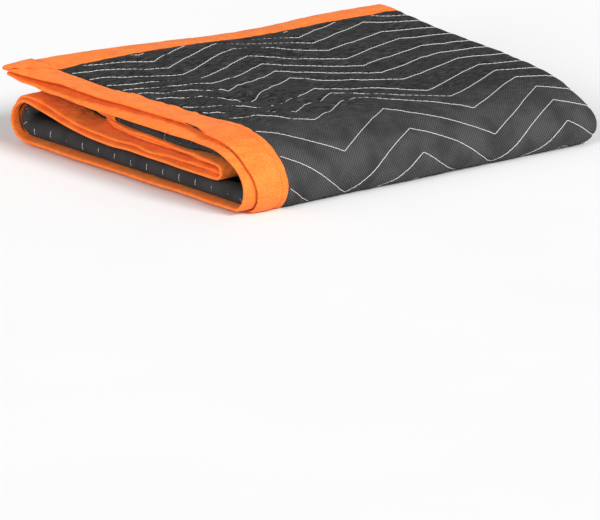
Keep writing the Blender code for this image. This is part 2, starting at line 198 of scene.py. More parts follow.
class FoldedStack:
    """The path that the four-layer stack follows, and the places of points on it."""

    def __init__(self):
        rows = np.array(SECTIONS, dtype=float) * MM
        steps = np.linalg.norm(np.diff(rows[:, 0:2], axis=0), axis=1)
        self.knots = np.concatenate([[0.0], np.cumsum(steps)])
        self.table = SmoothTable(self.knots, rows)
        self.total = self.knots[-1]
        self.top_end = self.knots[len(TOP_RUN + FRONT_TURN) - 1]
        self.back_end = self.knots[len(TOP_RUN + FRONT_TURN + BOTTOM_RUN + BACK_FOLD) - 1]

    def section(self, length):
        return Section(*np.moveaxis(self.table.at(length)[0], -1, 0))

    def place(self, x, height, length):
        """Points at x along the pad, at a height off the middle of the stack, at a length along the path."""
        value, change = self.table.at(length)
        blend = smooth_step(x / BLEND_END)
        y = value[..., 0] + (value[..., 2] - value[..., 0]) * blend
        z = value[..., 1] + (value[..., 3] - value[..., 1]) * blend
        along_y = change[..., 0] + (change[..., 2] - change[..., 0]) * blend
        along_z = change[..., 1] + (change[..., 3] - change[..., 1]) * blend
        size = np.hypot(along_y, along_z)
        lift = self.lift(x, y) * smooth_step((self.top_end - length) / LIFT_FADE)
        height = height + lift * (height + HALF_STACK) / (2 * HALF_STACK)
        height = height * (1 - (1 - FAR_SQUEEZE) * blend)
        return np.stack([x + 0 * y, y + height * along_z / size, z - height * along_y / size], axis=-1)

    def lift(self, x, y):
        total = 0.0
        for row in LIFTS:
            across = (x - row.x * MM) / (row.reach_x * MM)
            along = (y - row.y * MM) / (row.reach_y * MM)
            total = total + row.rise * MM * np.exp(-0.5 * (across**2 + along**2))
        return total


stack = FoldedStack()

# Where the quilting rows run, counted from the top end of the cloth: how far along the path each row lies
# at a trough and at a peak of its zigzag, at the near and the far part of the pad
Row = namedtuple("Row", "near_trough near_peak far_trough far_peak")
STITCH_ROWS = [Row(*row) for row in [
    (80, 28, 79, 33),
    (108, 58, 106, 64),
    (136, 90, 136, 102),
    (163, 120, 169, 135),
    (192, 146, 203, 175),
    (223, 171, 237, 210),
    (262, 201, 277, 246),
    (304, 247, 323, 283),
    (349, 278, 366, 316),
    (382, 321, 404, 353),
    (440, 374, 452, 386),
    (485, 421, 484, 417),
    (516, 456, 515, 453),
    (547, 486, 546, 482),
]]
ROW_SPACING = 30.5 * MM
ZIGZAG_TROUGH_X = 157.0 * MM
ZIGZAG_HALF_PERIOD = 111.0 * MM
FIRST_ROW = -3
LAST_ROW = 50

# The columns that give the zigzag's corners, one after the other across the cloth. The second is the trough
# at ZIGZAG_TROUGH_X.
CORNERS = ("near_peak", "near_trough", "near_peak", "far_trough", "far_peak", "far_trough")
CORNER_COLUMNS = np.array([Row._fields.index(name) for name in CORNERS])

# The hidden runs have straight rows. The zigzag fades out between these rows.
SWING_ENDS = (28.0, 32.0)

# Stretches of rows, and how many stations each row has there
Stretch = namedtuple("Stretch", "first_row last_row fractions")
FINE = (0.0, 0.05, 0.105, 0.2, 0.33, 0.5, 0.67, 0.8, 0.895, 0.95)
MEDIUM = (0.0, 0.08, 0.3, 0.7, 0.92)
COARSE = (0.0, 0.33, 0.67)
STRETCHES = [Stretch(*row) for row in [
    (-3, -2, COARSE),
    (-2, 14, FINE),
    (14, 24, MEDIUM),
    (24, 29, FINE),
    (29, 38, COARSE),
    (38, 42, FINE),
    (42, 50, COARSE),
]]

# How deep the rows are drawn in, how wide the groove is, and how much the cloth swells between two rows
GROOVE_DEPTH = 1.2 * MM
GROOVE_WIDTH = 2.3 * MM
PILLOW_RISE = 0.35 * MM

# How far in from the binding the cloth is free of its press
SHOULDER = 5.0 * MM

# Points closer than this are one point
WELD_DISTANCE = 1e-7

# Just short of the next row
ALMOST_ONE = 0.999999

# The least that the face may lie off the cloth's middle
THINNEST = -1.4 * MM

# How often the place where a column meets a row is worked out, each time nearer
ROUNDS = 3


def ease(value, low, high):
    """From 0 at low to 1 at high, smoothly."""
    return smooth_step((value - low) / (high - low))


class Quilting:
    """The zigzag rows: where each runs, and how the cloth is drawn in along it."""

    def __init__(self):
        rows = np.array(STITCH_ROWS, dtype=float) * MM
        before = rows[0] + np.arange(FIRST_ROW, 0)[:, None] * ROW_SPACING
        after = rows[-1] + np.arange(1, LAST_ROW + 2 - len(rows))[:, None] * ROW_SPACING
        rows = np.concatenate([before, rows, after])
        plain = rows.mean(axis=1, keepdims=True)
        number = np.arange(FIRST_ROW, LAST_ROW + 1)
        swing = 1 - ease(number, *SWING_ENDS)[:, None]
        self.rows = plain + (rows - plain) * swing
        self.plain = plain[:, 0]
        self.number = number

    def corners(self, u):
        """The two zigzag corners on either side of u, as table columns, and the share of the second."""
        corner = (u - ZIGZAG_TROUGH_X) / ZIGZAG_HALF_PERIOD
        first = np.clip(np.floor(corner), -1, len(CORNER_COLUMNS) - 3).astype(int)
        return CORNER_COLUMNS[first + 1], CORNER_COLUMNS[first + 2], np.clip(corner - first, 0, 1)

    def length(self, row, u, swing=1.0):
        """How far along the path a row, or a place between two rows, lies at u across the cloth."""
        first = np.clip(np.floor(row), FIRST_ROW, LAST_ROW - 1).astype(int)
        share = row - first
        index = first - FIRST_ROW
        left, right, across = self.corners(u)

        def at(column):
            return self.rows[index, column] * (1 - share) + self.rows[index + 1, column] * share

        zigzag = at(left) * (1 - across) + at(right) * across
        plain = self.plain_length(row)
        return plain + (zigzag - plain) * swing

    def plain_length(self, row):
        return np.interp(row, self.number, self.plain)

    def relief(self, row, u, swing):
        """How far the quilting lowers (below 0) or raises the face."""
        first = np.minimum(np.floor(row), LAST_ROW - 1)
        here = self.length(row, u, swing)
        before = here - self.length(first, u, swing)
        after = self.length(first + ALMOST_ONE, u, swing) - here
        span = np.maximum(before + after, MM)
        near = np.minimum(before, after)
        groove = np.exp(-(near / GROOVE_WIDTH)**2)
        return -GROOVE_DEPTH * groove + PILLOW_RISE * np.sin(math.pi * np.clip(near / span, 0, 1))


quilting = Quilting()


class SoftNoise:
    """Smooth, repeatable bumps between -1 and 1 over a plane."""

    SIZE = 64

    def __init__(self, seed):
        self.values = np.random.RandomState(seed).uniform(-1, 1, (self.SIZE, self.SIZE))

    def at(self, a, b):
        a, b = np.broadcast_arrays(a, b)
        column, row = np.floor(a).astype(int), np.floor(b).astype(int)
        s, t = smooth_step(a - column), smooth_step(b - row)

        def corner(add_a, add_b):
            return self.values[(column + add_a) % self.SIZE, (row + add_b) % self.SIZE]

        first = corner(0, 0) * (1 - s) + corner(1, 0) * s
        second = corner(0, 1) * (1 - s) + corner(1, 1) * s
        return first * (1 - t) + second * t


# Soft creases of the top face: where the middle of each lies across the cloth and along the path, which way
# it runs (degrees from X towards the front), its half length and half width, and how far it rises
Crease = namedtuple("Crease", "u length angle half_length half_width rise")
CREASES = [Crease(*row) for row in [
    (178, 264, 6, 34, 9, -4.2),
    (186, 240, 4, 40, 8, 2.6),
    (215, 284, -4, 44, 8, 2.4),
    (128, 290, 12, 40, 7, 2.2),
    (105, 350, 16, 44, 7, 2.4),
    (170, 360, -10, 50, 8, -2.0),
    (150, 262, 8, 42, 6, -2.6),
    (178, 246, -14, 30, 7, 1.8),
    (196, 268, 4, 34, 6, -2.4),
    (120, 300, 22, 30, 6, -2.0),
    (96, 322, 35, 28, 7, 1.8),
    (150, 318, -6, 42, 7, 1.9),
    (120, 345, 14, 46, 6, -2.2),
    (70, 352, 40, 22, 6, -1.8),
    (215, 300, 18, 46, 8, -1.6),
    (250, 338, -8, 60, 8, 1.5),
    (300, 362, 4, 70, 7, -1.6),
    (86, 268, -30, 22, 6, -1.5),
    (60, 300, 60, 20, 5, 1.3),
    (180, 384, 10, 60, 9, 1.6),
    (330, 300, 12, 60, 10, -1.0),
    (420, 330, -10, 60, 10, 1.0),
    (250, 180, 20, 50, 10, -0.9),
    (90, 150, 50, 30, 8, -1.2),
    (70, 110, 55, 26, 7, 1.0),
    (420, 200, 16, 60, 10, 0.9),
    (470, 120, -14, 40, 9, -0.9),
    (330, 110, 10, 50, 9, 0.8),
    (190, 90, -8, 50, 9, -0.8),
]]
CREASE_FADE = 0.6

# The rumpled patch near the front of the top: its middle and its reach
Patch = namedtuple("Patch", "u length reach_u reach_length")
RUMPLE = Patch(175.0 * MM, 280.0 * MM, 120.0 * MM, 95.0 * MM)

# Soft bumps all over the face, and wrinkles at a slant in the rumpled patch: how high they are, their size
# across the cloth and along the path, and where in the noise they start
Bumps = namedtuple("Bumps", "noise rise size_u size_length start")
face_noise = SoftNoise(3)
pucker_noise = SoftNoise(11)
BUMPS = [
    Bumps(face_noise, 0.9, 45, 28, 0),
    Bumps(pucker_noise, 0.45, 13, 9, 0),
]
WRINKLES = [
    Bumps(face_noise, 4.6, 42, 17, 11),
    Bumps(pucker_noise, 2.6, 17, 11, 5),
]
WRINKLE_SLANT = 0.18
RIDGE_LEVEL = 0.52

# Between these lengths along the path the bumps run out
FACE_ENDS = (500.0 * MM, 540.0 * MM)


def rumple_share(u, length):
    return np.exp(-((u - RUMPLE.u) / RUMPLE.reach_u)**2 - ((length - RUMPLE.length) / RUMPLE.reach_length)**2)


def noise_of(bumps, u, length):
    return bumps.noise.at(u / (bumps.size_u * MM) + bumps.start, length / (bumps.size_length * MM))


def face_bumps(u, length):
    """The creases and soft bumps of the outer face, from the top end to the bottom of the front turn."""
    total = 0.0
    for bumps in BUMPS:
        total = total + bumps.rise * MM * noise_of(bumps, u, length)
    rumple = rumple_share(u, length)
    slant = length + WRINKLE_SLANT * u
    for bumps in WRINKLES:
        narrow_ridges = RIDGE_LEVEL - np.abs(noise_of(bumps, u, slant))
        total = total + rumple * bumps.rise * MM * narrow_ridges
    for crease in CREASES:
        angle = math.radians(crease.angle)
        right, front = u - crease.u * MM, length - crease.length * MM
        along = (right * math.cos(angle) + front * math.sin(angle)) / (CREASE_FADE * crease.half_length * MM)
        across = (front * math.cos(angle) - right * math.sin(angle)) / (crease.half_width * MM)
        total = total + crease.rise * MM * np.exp(-0.5 * (along**2 + across**2))
    return total * (1 - ease(length, *FACE_ENDS))


# A place on the section's middle line: x, height off the stack's middle, and the direction of the first face
Spot = namedtuple("Spot", "x height face_x face_h")
TURN_RADIUS = 1.5 * LAYER_PITCH
ROLL_RADIUS = 0.5 * LAYER_PITCH
QUARTER_ROLL = math.pi / 2 * ROLL_RADIUS

# The roll at the near face: how far it swells into the air beside it in each part of the path, and how far
# it stands back behind the place that the section gives. The bottom run's roll is fat and fills the space
# in front of the middle run's roll.
Roll = namedtuple("Roll", "length swell back")
ROLLS = [Roll(*row) for row in [
    (0, 0.8, 0),
    (60, 0.8, 0),
    (90, 0.8, -10),
    (125, 0.8, -19),
    (190, 0.8, -8),
    (255, 0.8, 0),
    (380, 1.2, 0),
    (440, 3.0, 0),
    (490, 8.0, 0),
    (540, 13.2, 0),
    (870, 13.2, 0),
    (910, 10.0, 0),
    (945, 6.0, 4),
    (970, 2.0, 22),
    (1010, 0.3, 34),
    (1350, 0.3, 34),
    (1385, 0.6, 6),
    (1410, 0.8, -4),
    (1450, 0.8, -8),
    (1500, 0.8, -12),
    (1603, 0.8, -14),
]]
SWELL_REACH = 40.0 * MM

# The lips of the two bound edges, which lie apart: how far each one stands out (below 0: back) and rises
# (below 0: hangs down). What lies under the inner one rises with it.
Lip = namedtuple("Lip", "length outer_out outer_rise inner_out inner_rise")
LIPS = [Lip(*row) for row in [
    (0, 0, -1.0, 0, -4.0),
    (25, 0, 0.0, 0, -6.0),
    (50, 0, 2.0, 0, -2.0),
    (90, 0, 5.0, 0, -2.5),
    (130, 0, 4.5, 0, -3.5),
    (185, 0, 3.2, 0, -3.6),
    (290, 0, 2.0, 0, -3.6),
    (335, 2, 0.8, 0, -4.5),
    (360, 10, 0.0, 0, -4.5),
    (400, 12, 0.3, 0, -3.0),
    (440, 9, 0.3, 0, -0.5),
    (490, 0, 0.0, 0, 0.0),
    (1530, 0, 0.0, 0, 0.0),
    (1570, -5, 0.0, -6, -1.0),
    (1603, -18, 0.0, -20, -4.0),
]]

# The two bound side edges: the layer that each one ends, counted from the stack's middle, how far in its lip
# reaches, and where in the noise its sway starts
Side = namedtuple("Side", "name layer reach sway_start")
OUTER = Side("outer", 1.5, 38.0 * MM, 3.5)
INNER = Side("inner", 0.5, 26.0 * MM, 23.5)
SWAY_OUT = 2.6 * MM
SWAY_RISE = 0.9 * MM
SWAY_LENGTH = 34.0 * MM
SWAY_RISE_START = 5
sway_noise = SoftNoise(97)

# How far past the far turn the zigzag runs out, and how far from the roll's middle the cloth is smooth
SWING_RUN_OUT = 60.0 * MM
CALM_REACH = 26.0 * MM


def table_value(table, column, length):
    """A column of a short table at each length along the path."""
    lengths = [row.length * MM for row in table]
    return np.interp(length, lengths, [getattr(row, column) * MM for row in table])


def lip_share(inward, side):
    return 1 - ease(inward, 0.0, side.reach)


def lip_offset(side, length):
    """How far a side's lip stands out and rises, with the sway of a hand-folded edge."""
    sway = length / SWAY_LENGTH
    out = table_value(LIPS, side.name + "_out", length)
    rise = table_value(LIPS, side.name + "_rise", length)
    out = out + SWAY_OUT * sway_noise.at(sway, side.sway_start)
    return out, rise + SWAY_RISE * sway_noise.at(sway, side.sway_start + SWAY_RISE_START)


class Across:
    """The way across the cloth at given lengths along the path: outer layer, far turn, bottom layer, roll,
    third layer, inner far turn and second layer. u is the distance from X = 0 on the outer layer."""

    def __init__(self, length):
        section = stack.section(length)
        self.outer_edge = section.outer_edge
        self.turn_x = section.far_end - HALF_STACK
        self.inner_x = section.inner_edge
        self.swell = table_value(ROLLS, "swell", length)
        self.roll_radius = ROLL_RADIUS + self.swell / 2
        self.quarter = math.pi / 2 * self.roll_radius
        roll_face = section.roll + table_value(ROLLS, "back", length)
        self.roll_x = roll_face + self.roll_radius + CLOTH_THICKNESS / 2
        self.outer_out, self.outer_rise = lip_offset(OUTER, length)
        self.inner_out, self.inner_rise = lip_offset(INNER, length)
        self.run = self.turn_x - self.roll_x
        self.turn_end = self.turn_x + math.pi * TURN_RADIUS
        self.roll_middle = self.turn_end + self.run + self.quarter
        self.inner_middle = self.roll_middle + self.quarter + self.run + QUARTER_ROLL
        self.second_layer = self.inner_middle + QUARTER_ROLL
        self.inner_edge = self.second_layer + self.turn_x - section.inner_edge

    def inward(self, u):
        """How far u lies from the nearer bound edge."""
        return np.minimum(u - self.outer_edge, self.inner_edge - u)

    def swing(self, u):
        """How much of the zigzag's swing the rows take. It runs out past the far turn."""
        return 1 - ease(u, self.turn_end, self.turn_end + SWING_RUN_OUT)

    def calm(self, u):
        """How much of the quilting's relief is left beside the roll, where the cloth is stretched smooth."""
        return 1 - np.exp(-((u - self.roll_middle) / CALM_REACH)**2)

    def spot(self, u):
        """The place on the section's middle line at u."""
        angle = np.clip((u - self.turn_x) / TURN_RADIUS, 0, math.pi)
        past = np.maximum(u - self.turn_end, 0)
        lip = lip_share(u - self.outer_edge, OUTER)
        outer = Spot(np.minimum(u, self.turn_x) + TURN_RADIUS * np.sin(angle) - past - self.outer_out * lip,
                     TURN_RADIUS * np.cos(angle) + self.outer_rise * lip, np.sin(angle), np.cos(angle))
        around = u - self.roll_middle
        angle = np.clip(around, -self.quarter, self.quarter) / self.roll_radius
        past = np.maximum(np.abs(around) - self.quarter, 0)
        drawn_in = np.where(around < 0, self.swell * ease(past, 0, SWELL_REACH), 0)
        roll_x = self.roll_x - self.roll_radius * np.cos(angle) + past
        height = -LAYER_PITCH - self.swell / 2 + self.roll_radius * np.sin(angle) + drawn_in
        lip = lip_share(roll_x - self.inner_x, INNER)
        roll = Spot(roll_x, height + self.inner_rise * lip, -np.cos(angle), np.sin(angle))
        around = u - self.inner_middle
        angle = np.clip(around, -QUARTER_ROLL, QUARTER_ROLL) / ROLL_RADIUS
        past = np.maximum(np.abs(around) - QUARTER_ROLL, 0)
        inner_x = self.turn_x + ROLL_RADIUS * np.cos(angle) - past
        lip = lip_share(inner_x - self.inner_x, INNER)
        inner = Spot(inner_x - self.inner_out * lip, ROLL_RADIUS * np.sin(angle) + self.inner_rise * lip,
                     -np.cos(angle), -np.sin(angle))
        on_outer = u < self.turn_end + self.run / 2
        on_roll = u < self.roll_middle + self.quarter + self.run / 2
        return Spot(*(np.where(on_outer, a, np.where(on_roll, b, c)) for a, b, c in zip(outer, roll, inner)))


def place_off(across, u, off, length):
    """Points at a distance off the cloth's middle, towards its first face."""
    spot = across.spot(u)
    return stack.place(spot.x + spot.face_x * off, spot.height + spot.face_h * off, length)


# Columns of points round the section: through the hem under the binding, the shoulder beside it, and the
# runs. The face that shows has fine ones where the zigzag is seen.
FINE_STEP = ZIGZAG_HALF_PERIOD / 24
FIRST_FINE_X = ZIGZAG_TROUGH_X - 12 * FINE_STEP
LAST_FINE_X = ZIGZAG_TROUGH_X + 3 * ZIGZAG_HALF_PERIOD
HEM_PLACES = (CLOTH_EDGE, 0.4 * BINDING_WIDTH, 0.8 * BINDING_WIDTH, SEAM)
SHOULDER_PLACES = (SEAM + 1 * MM, SEAM + 2.5 * MM, SEAM + SHOULDER)
RUN_SHARES = (0.012, 0.03, 0.06, 0.1, 0.16, 0.24, 0.32, 0.4, 0.5, 0.6, 0.7, 0.8, 0.88, 0.94, 0.98)

# How many columns each stretch has, on the face that shows and on the face inside the folds
Counts = namedtuple("Counts", "start end far_turn roll inner_turn")
FINE_COUNTS = Counts(10, 12, 12, 10, 8)
PLAIN_COUNTS = Counts(0, 24, 6, 6, 4)


def steps(count):
    """Even shares of a run up to its end, without its start."""
    return np.arange(1, count + 1) / count


def whole_steps(count):
    return [0.0, *steps(count)]


def columns(across, hem, outer_layer, run_shares, counts):
    """The way across of each column, from the outer edge to the inner one."""
    free_edge = across.inner_edge - SEAM - SHOULDER
    ways = [across.outer_edge + place for place in hem] + outer_layer
    ways += [across.turn_x + math.pi * TURN_RADIUS * share for share in steps(counts.far_turn)]
    ways += [across.turn_end + across.run * (1 - share) for share in run_shares[::-1]]
    ways += [across.roll_middle + across.quarter * (2 * share - 1) for share in whole_steps(counts.roll)]
    ways += [across.roll_middle + across.quarter + across.run * share for share in run_shares]
    ways += [across.inner_middle + QUARTER_ROLL * (2 * share - 1) for share in whole_steps(counts.inner_turn)]
    ways += [free_edge - (free_edge - across.second_layer) * share for share in run_shares[::-1]]
    return ways + [across.inner_edge - place for place in hem[::-1]]


def fine_columns(across, hem=HEM_PLACES):
    """The columns of the face that shows."""
    start = across.outer_edge + SEAM + SHOULDER
    ways = [start + (FIRST_FINE_X - start) * share for share in steps(FINE_COUNTS.start)[:-1]]
    ways += [x + 0 * start for x in np.arange(FIRST_FINE_X, LAST_FINE_X - FINE_STEP / 2, FINE_STEP)]
    ways += [LAST_FINE_X + (across.turn_x - LAST_FINE_X) * share for share in whole_steps(FINE_COUNTS.end)]
    return columns(across, hem + SHOULDER_PLACES, ways, RUN_SHARES, FINE_COUNTS)


def plain_columns(across):
    """The columns of the face that lies inside the folds."""
    start = across.outer_edge + SEAM + SHOULDER
    ways = [start + (across.turn_x - start) * share for share in whole_steps(PLAIN_COUNTS.end)]
    return columns(across, (CLOTH_EDGE, SEAM), ways, RUN_SHARES[::2], PLAIN_COUNTS)


def column_count(columns_of):
    """How many columns a section has, which is the same all along the path."""
    return len(columns_of(Across(np.array([0.0]))))


def row_stations():
    rows = []
    for stretch in STRETCHES:
        for row in range(stretch.first_row, stretch.last_row):
            rows += [row + fraction for fraction in stretch.fractions]
    return np.array(rows + [LAST_ROW], dtype=float)


def on_cloth(length):
    return np.clip(length, CLOTH_EDGE, stack.total - CLOTH_EDGE)


def free_share(length, inward):
    """0 where a binding presses the cloth thin, 1 a shoulder's width away from it."""
    end = np.minimum(length, stack.total - length)
    return np.minimum(ease(end, SEAM, SEAM + SHOULDER), ease(inward, SEAM, SEAM + SHOULDER))


def half_thickness(free):
    return (CLOTH_UNDER_BINDING + (CLOTH_THICKNESS - CLOTH_UNDER_BINDING) * free) / 2


def follow_rows(row, way_of):
    """The length along the path and the way across where a column meets each row."""
    length = on_cloth(quilting.plain_length(row))
    for _ in range(ROUNDS):
        across = Across(length)
        u = way_of(across)
        length = on_cloth(quilting.length(row, u, across.swing(u)))
    across = Across(length)
    return across, way_of(across), length


def outer_bumps(across, u, length):
    """The creases and bumps of the outer layer, which run out on the far turn."""
    return face_bumps(u, length) * (1 - ease(u, across.turn_x, across.turn_end))


def first_face(row, way_of):
    """A column of the first face, with its quilting, creases and bumps, and its flat coordinates."""
    across, u, length = follow_rows(row, way_of)
    free = free_share(length, across.inward(u))
    relief = quilting.relief(row, u, across.swing(u)) * across.calm(u)
    off = half_thickness(free) + free * (relief + outer_bumps(across, u, length))
    return place_off(across, u, np.maximum(off, THINNEST), length), u, length


def other_face(row, way_of):
    length = on_cloth(quilting.plain_length(row))
    across = Across(length)
    u = way_of(across)
    return place_off(across, u, -half_thickness(free_share(length, across.inward(u))), length), u, length


def face_grid(face, columns_of):
    """Points by station and column, with their flat coordinates."""
    rows = row_stations()
    numbers = range(column_count(columns_of))
    made = [face(rows, lambda across, number=number: columns_of(across)[number]) for number in numbers]
    points = np.stack([column[0] for column in made], axis=1)
    flat = np.stack([np.stack([column[1] + 0 * rows, column[2]], axis=-1) for column in made], axis=1)
    return points, flat


def grid_faces(places, turned=False):
    corners = [places[:-1, :-1], places[:-1, 1:], places[1:, 1:], places[1:, :-1]]
    quads = np.stack(corners, axis=-1).reshape(-1, 4)
    return (quads[:, ::-1] if turned else quads).tolist()


def end_faces(first, other, first_way, other_way, turned):
    """Triangles that close one end between a row of each face, side by side by their way across."""
    faces = []
    a, b = 0, 0
    while a < len(first) - 1 or b < len(other) - 1:
        if b == len(other) - 1 or (a < len(first) - 1 and first_way[a + 1] <= other_way[b + 1]):
            face = (first[a + 1], first[a], other[b])
            a += 1
        else:
            face = (other[b], other[b + 1], first[a])
            b += 1
        faces.append(face[::-1] if turned else face)
    return faces


def weld(points, faces, extra):
    """Points that coincide become one, and faces that this closes up go."""
    _, first, place = np.unique(np.round(points / WELD_DISTANCE).astype(np.int64), axis=0, return_index=True,
                                return_inverse=True)
    place = place.ravel()
    kept = []
    for face in faces:
        corners = [int(place[corner]) for corner in face]
        corners = [corner for number, corner in enumerate(corners) if corner != corners[number - 1]]
        if len(set(corners)) == len(corners) > 2:
            kept.append(corners)
    return points[first], kept, extra[first]


def add_piece(name, points, faces, material, flat, nodes=()):
    """A mesh piece of the pad, with the cloth's flat coordinates on its points, facing outwards."""
    mesh = bpy.data.meshes.new(name)
    places = points - PAD_MIDDLE
    places[:, 2] = np.maximum(places[:, 2], 0.0)
    mesh.from_pydata(places.tolist(), [], faces)
    attribute = mesh.attributes.new("flat", "FLOAT_VECTOR", "POINT")
    vectors = np.concatenate([flat, 0 * flat[:, :1]], axis=1).astype(np.float32)
    attribute.data.foreach_set("vector", vectors.ravel())
    shape = bmesh.new()
    shape.from_mesh(mesh)
    if shape.calc_volume(signed=True) < 0:
        bmesh.ops.reverse_faces(shape, faces=shape.faces)
    shape.to_mesh(mesh)
    shape.free()
    mesh.shade_smooth()
    mesh.materials.append(material)
    piece = bpy.data.objects.new(name, mesh)
    bpy.context.scene.collection.objects.link(piece)
    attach(piece, "root")
    if nodes:
        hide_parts(*nodes)
    return piece


def add_panel(material):
    points, flat = face_grid(first_face, fine_columns)
    under, under_flat = face_grid(other_face, plain_columns)
    places = np.arange(points.shape[0] * points.shape[1]).reshape(points.shape[:2])
    under_places = places.size + np.arange(under.shape[0] * under.shape[1]).reshape(under.shape[:2])
    faces = grid_faces(places) + grid_faces(under_places, turned=True)
    faces += grid_faces(np.stack([under_places[:, 0], places[:, 0]], axis=1))
    faces += grid_faces(np.stack([places[:, -1], under_places[:, -1]], axis=1))
    for end, turned in ((0, False), (-1, True)):
        faces += end_faces(places[end], under_places[end], flat[end, :, 0], under_flat[end, :, 0], turned)
    all_points = np.concatenate([points.reshape(-1, 3), under.reshape(-1, 3)])
    all_flat = np.concatenate([flat.reshape(-1, 2), under_flat.reshape(-1, 2)])
    all_points, faces, all_flat = weld(all_points, faces, all_flat)
    return add_piece("quilted_cloth_panel", all_points, faces, material, all_flat, nodes=["quilted_panel"])


# The folded tape's section: how far in from the bound edge, how far off the cloth's middle, and how much of
# the tape's puckers and waves it takes
TapePoint = namedtuple("TapePoint", "inward off pucker wave")
TAPE_OUTSIDE = [TapePoint(*row) for row in [
    (41.0, 2.05, 0.7, 1.0),
    (40.3, 2.15, 0.9, 1.0),
    (37.5, 2.25, 1.0, 0.8),
    (34.5, 2.15, 1.0, 0.6),
    (33.2, 1.95, 0.8, 0.5),
    (32.2, 1.85, 0.6, 0.5),
    (31.2, 1.95, 0.8, 0.4),
    (29.5, 2.15, 1.0, 0.3),
    (26.0, 2.25, 0.9, 0.2),
    (21.0, 2.25, 0.7, 0.1),
    (15.0, 2.25, 0.5, 0.0),
    (9.0, 2.2, 0.4, 0.0),
    (4.5, 2.1, 0.3, 0.0),
    (1.7, 1.95, 0.2, 0.0),
    (0.5, 1.4, 0.1, 0.0),
    (0.0, 0.6, 0.0, 0.0),
    (0.0, -0.6, 0.0, 0.0),
    (0.5, -1.4, 0.0, 0.0),
    (1.7, -1.95, 0.0, 0.0),
    (6.0, -2.1, 0.0, 0.0),
    (18.0, -2.1, 0.0, 0.0),
    (30.0, -2.1, 0.0, 0.0),
    (41.0, -2.1, 0.0, 0.0),
]]
TAPE_INSIDE = [TapePoint(*row) for row in [
    (41.0, -1.5, 0.0, 0.0),
    (20.0, -1.5, 0.0, 0.0),
    (1.0, -1.5, 0.0, 0.0),
    (1.0, 1.5, 0.0, 0.0),
    (20.0, 1.5, 0.0, 0.0),
    (41.0, 1.5, 0.0, 1.0),
]]
TAPE_SECTION = [TapePoint(inward * MM, off * MM, *rest) for inward, off, *rest in TAPE_OUTSIDE + TAPE_INSIDE]
TAPE_STEP = 3.0 * MM
STITCH_INWARD = 32.2 * MM

# Small ripples and broad swells of a tape: their size along it and across it, how much they slant, and their
# share of the whole, in its puckers and in the wave of its edge
Ripple = namedtuple("Ripple", "along across slant share")
PUCKERS = (Ripple(8.5, 22, 0.5, 0.6), Ripple(30, 40, 0.0, 0.4))
EDGE_WAVES = (Ripple(11, 22, 0.0, 0.5), Ripple(24, 40, 0.0, 0.6))
PUCKER_DEPTH = 4.2 * MM
PUCKER_LIMITS = (-0.35 * MM, 1.5 * MM)
EDGE_WAVE = 2.6 * MM


class Tape:
    """The uneven look of one binding, by the distance along it."""

    def __init__(self, seed):
        self.fine = SoftNoise(seed)
        self.broad = SoftNoise(seed + 1)
        self.row = seed + 0.5

    def ripples(self, kinds, along, inward):
        total = 0.0
        for noise, kind in zip((self.fine, self.broad), kinds):
            place = (along + kind.slant * inward) / (kind.along * MM)
            total = total + kind.share * noise.at(place, self.row + inward / (kind.across * MM))
        return total

    def pucker(self, along, inward):
        return np.clip(PUCKER_DEPTH * self.ripples(PUCKERS, along, inward), *PUCKER_LIMITS)

    def wave(self, along):
        return EDGE_WAVE * self.ripples(EDGE_WAVES, along, 0.0)


def loft(rings):
    """Points and faces of a closed tube through rings of points, with a flat cap on each end."""
    count, around = rings.shape[:2]
    places = np.arange(count * around).reshape(count, around)
    wrapped = np.concatenate([places, places[:, :1]], axis=1)
    return rings.reshape(-1, 3), grid_faces(wrapped) + [places[0][::-1].tolist(), places[-1].tolist()]


def tape_rings(tape, along, ring_point):
    """Rings of a tape's section. ring_point gives points for a place in from the edge and off the middle."""
    places = []
    for point in TAPE_SECTION:
        off = point.off + np.sign(point.off) * point.pucker * tape.pucker(along, point.inward)
        places.append(ring_point(point.inward + point.wave * tape.wave(along), off))
    return np.stack(places, axis=1)


def tape_flat(along):
    """The flat coordinates of a tape's rings: the distance along it and in from its edge."""
    flat = np.meshgrid(along, [point.inward for point in TAPE_SECTION], indexing="ij")
    return np.stack(flat, axis=-1).reshape(-1, 2)


def side_place(side):
    """Points on a side binding, by the distance in from its edge, off the middle and along the path."""
    def place(inward, off, length):
        edge = getattr(stack.section(length), side.name + "_edge")
        lip = lip_share(inward, side)
        out, rise = lip_offset(side, length)
        return stack.place(edge + inward - out * lip, side.layer * LAYER_PITCH + off + rise * lip, length)
    return place


def add_side_binding(name, node, tape, material, side):
    place = side_place(side)
    along = np.linspace(0.0, stack.total, round(stack.total / TAPE_STEP) + 1)
    points, faces = loft(tape_rings(tape, along, lambda inward, off: place(inward, off, along)))
    return add_piece(name, points, faces, material, tape_flat(along), nodes=[node])


def end_columns(across):
    return fine_columns(across, hem=(SEAM,))


def end_ways(across):
    """The way across of each end column, where across has one place for each of them."""
    return np.array([way[number] for number, way in enumerate(end_columns(across))])


def end_place(end_length, inward_sign):
    """Points on an end binding, by the distance in from the cloth's end, off the middle and the column."""
    def place(inward, off):
        length = end_length + inward_sign * inward
        across = Across(length)
        return place_off(across, end_ways(across), off, length)
    return place


def add_end_binding(name, node, tape, material, end_length, inward_sign, extra=None):
    middle = end_length + inward_sign * BINDING_WIDTH / 2
    along = end_ways(Across(np.full(column_count(end_columns), middle)))
    points, faces = loft(tape_rings(tape, along, end_place(end_length, inward_sign)))
    flat = tape_flat(along)
    if extra:
        more_points, more_faces, more_flat = extra
        faces += [[corner + len(points) for corner in face] for face in more_faces]
        points, flat = np.concatenate([points, more_points]), np.concatenate([flat, more_flat])
    return add_piece(name, points, faces, material, flat, nodes=[node])


